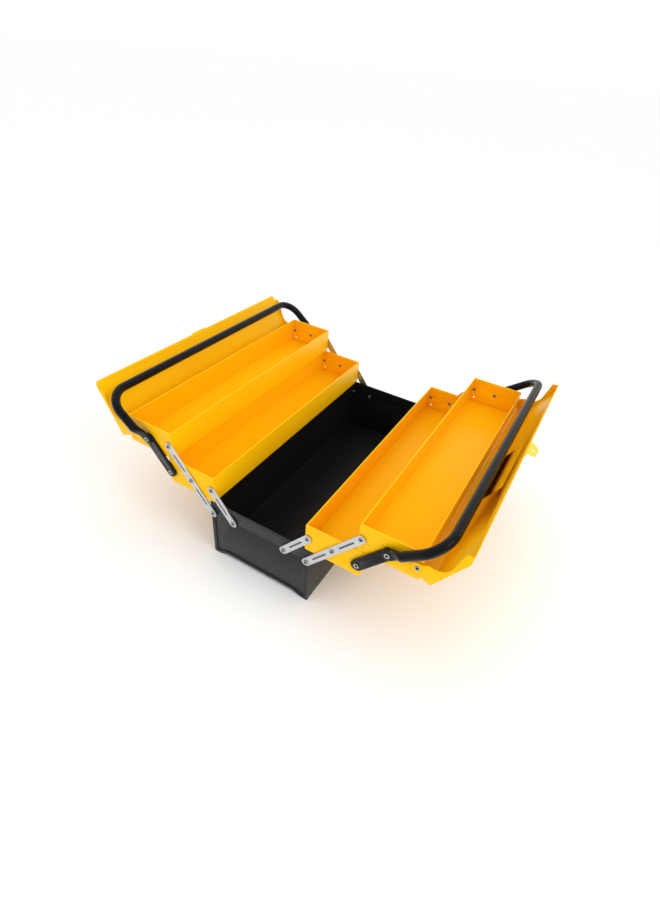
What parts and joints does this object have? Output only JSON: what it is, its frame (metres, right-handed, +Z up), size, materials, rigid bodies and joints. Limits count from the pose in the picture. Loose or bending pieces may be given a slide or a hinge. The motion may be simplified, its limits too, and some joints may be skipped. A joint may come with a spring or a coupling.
{
  "type": "cantilever toolbox",
  "caption": "Open steel cantilever toolbox: a deep base with trays that swing out on links at both sides, two hinged lids and two tube handles.",
  "frame": {"origin": "middle of the base's footprint, on the floor plane", "axes": "+X along the box toward its far end, +Y toward the left-hand trays, +Z up"},
  "size_m": [0.5336, 0.6711, 0.2713],
  "materials": {
    "base_paint": "satin charcoal enamel",
    "tray_paint": "semi-gloss orange-yellow enamel",
    "lid_paint": "semi-gloss orange-yellow enamel",
    "tab_paint": "semi-gloss light yellow enamel",
    "link_zinc": "bright zinc plate",
    "arm_paint": "satin black enamel",
    "handle_paint": "satin black enamel",
    "rivet_steel": "dull zinc plate"
  },
  "bodies": {
    "base": {"base_trough": "base_paint", "base_end_near": "base_paint", "base_end_far": "base_paint", "base_rivets": "rivet_steel"},
    "left_long_links": {"left_long_link_near": "link_zinc", "left_long_link_far": "link_zinc"},
    "left_short_links": {"left_short_link_near": "link_zinc", "left_short_link_far": "link_zinc"},
    "left_lower_tray": {"left_lower_trough": "tray_paint", "left_lower_end_near": "tray_paint", "left_lower_end_far": "tray_paint", "left_lower_rivets": "rivet_steel"},
    "left_upper_tray": {"left_upper_trough": "tray_paint", "left_upper_end_near": "tray_paint", "left_upper_end_far": "tray_paint", "left_upper_rivets": "rivet_steel"},
    "left_handle_set": {"left_arm_near": "arm_paint", "left_arm_far": "arm_paint", "left_handle": "handle_paint"},
    "left_lid_pin_set": {"left_lid_pins": "rivet_steel"},
    "left_lid": {"left_lid_panel": "lid_paint", "left_lid_end_near": "lid_paint", "left_lid_end_far": "lid_paint"},
    "right_long_links": {"right_long_link_near": "link_zinc", "right_long_link_far": "link_zinc"},
    "right_short_links": {"right_short_link_near": "link_zinc", "right_short_link_far": "link_zinc"},
    "right_lower_tray": {"right_lower_trough": "tray_paint", "right_lower_end_near": "tray_paint", "right_lower_end_far": "tray_paint", "right_lower_rivets": "rivet_steel"},
    "right_upper_tray": {"right_upper_trough": "tray_paint", "right_upper_end_near": "tray_paint", "right_upper_end_far": "tray_paint", "right_upper_rivets": "rivet_steel"},
    "right_handle_set": {"right_arm_near": "arm_paint", "right_arm_far": "arm_paint", "right_handle": "handle_paint"},
    "right_lid_pin_set": {"right_lid_pins": "rivet_steel"},
    "right_lid": {"right_lid_panel": "lid_paint", "right_lid_end_near": "lid_paint", "right_lid_end_far": "lid_paint", "padlock_tab": "tab_paint"}
  },
  "joints": [
    {"name": "left_fold", "type": "hinge", "parent": "base", "child": "left_long_links", "pos_m": [0, 0.0924, 0.0955], "axis": [1, 0, 0], "range_deg": [0, 78.66]},
    {"name": "left_short_link_turn", "type": "hinge", "parent": "base", "child": "left_short_links", "pos_m": [0, 0.0502, 0.0955], "axis": [1, 0, 0], "range_deg": [0, 78.66]},
    {"name": "left_lower_tray_turn", "type": "hinge", "parent": "left_long_links", "child": "left_lower_tray", "pos_m": [0, 0.1346, 0.147], "axis": [1, 0, 0], "range_deg": [-78.66, 0]},
    {"name": "left_upper_tray_turn", "type": "hinge", "parent": "left_long_links", "child": "left_upper_tray", "pos_m": [0, 0.1768, 0.1985], "axis": [1, 0, 0], "range_deg": [-78.66, 0]},
    {"name": "left_handle_turn", "type": "hinge", "parent": "left_lower_tray", "child": "left_handle_set", "pos_m": [0, 0.1768, 0.147], "axis": [1, 0, 0], "range_deg": [0, 78.66]},
    {"name": "left_lid_carry", "type": "hinge", "parent": "left_upper_tray", "child": "left_lid_pin_set", "pos_m": [0, 0.2612, 0.1985], "axis": [1, 0, 0], "range_deg": [0, 97.01]},
    {"name": "left_lid_open", "type": "hinge", "parent": "left_lid_pin_set", "child": "left_lid", "pos_m": [0, 0.2612, 0.1985], "axis": [1, 0, 0], "range_deg": [0, 15.5]},
    {"name": "right_fold", "type": "hinge", "parent": "base", "child": "right_long_links", "pos_m": [0, -0.0924, 0.0955], "axis": [-1, 0, 0], "range_deg": [0, 78.66]},
    {"name": "right_short_link_turn", "type": "hinge", "parent": "base", "child": "right_short_links", "pos_m": [0, -0.0502, 0.0955], "axis": [-1, 0, 0], "range_deg": [0, 78.66]},
    {"name": "right_lower_tray_turn", "type": "hinge", "parent": "right_long_links", "child": "right_lower_tray", "pos_m": [0, -0.1346, 0.147], "axis": [-1, 0, 0], "range_deg": [-78.66, 0]},
    {"name": "right_upper_tray_turn", "type": "hinge", "parent": "right_long_links", "child": "right_upper_tray", "pos_m": [0, -0.1768, 0.1985], "axis": [-1, 0, 0], "range_deg": [-78.66, 0]},
    {"name": "right_handle_turn", "type": "hinge", "parent": "right_lower_tray", "child": "right_handle_set", "pos_m": [0, -0.1768, 0.147], "axis": [-1, 0, 0], "range_deg": [0, 78.66]},
    {"name": "right_lid_carry", "type": "hinge", "parent": "right_upper_tray", "child": "right_lid_pin_set", "pos_m": [0, -0.2612, 0.1985], "axis": [-1, 0, 0], "range_deg": [0, 92.3]},
    {"name": "right_lid_open", "type": "hinge", "parent": "right_lid_pin_set", "child": "right_lid", "pos_m": [0, -0.2612, 0.1985], "axis": [-1, 0, 0], "range_deg": [0, 19.2]}
  ],
  "couplings": [
    {"joint": "left_short_link_turn", "follows": "left_fold", "ratio": 1},
    {"joint": "left_lower_tray_turn", "follows": "left_fold", "ratio": -1},
    {"joint": "left_upper_tray_turn", "follows": "left_fold", "ratio": -1},
    {"joint": "left_handle_turn", "follows": "left_fold", "ratio": 1},
    {"joint": "left_lid_carry", "follows": "left_fold", "ratio": 1.2332},
    {"joint": "right_short_link_turn", "follows": "right_fold", "ratio": 1},
    {"joint": "right_lower_tray_turn", "follows": "right_fold", "ratio": -1},
    {"joint": "right_upper_tray_turn", "follows": "right_fold", "ratio": -1},
    {"joint": "right_handle_turn", "follows": "right_fold", "ratio": 1},
    {"joint": "right_lid_carry", "follows": "right_fold", "ratio": 1.1734}
  ]
}
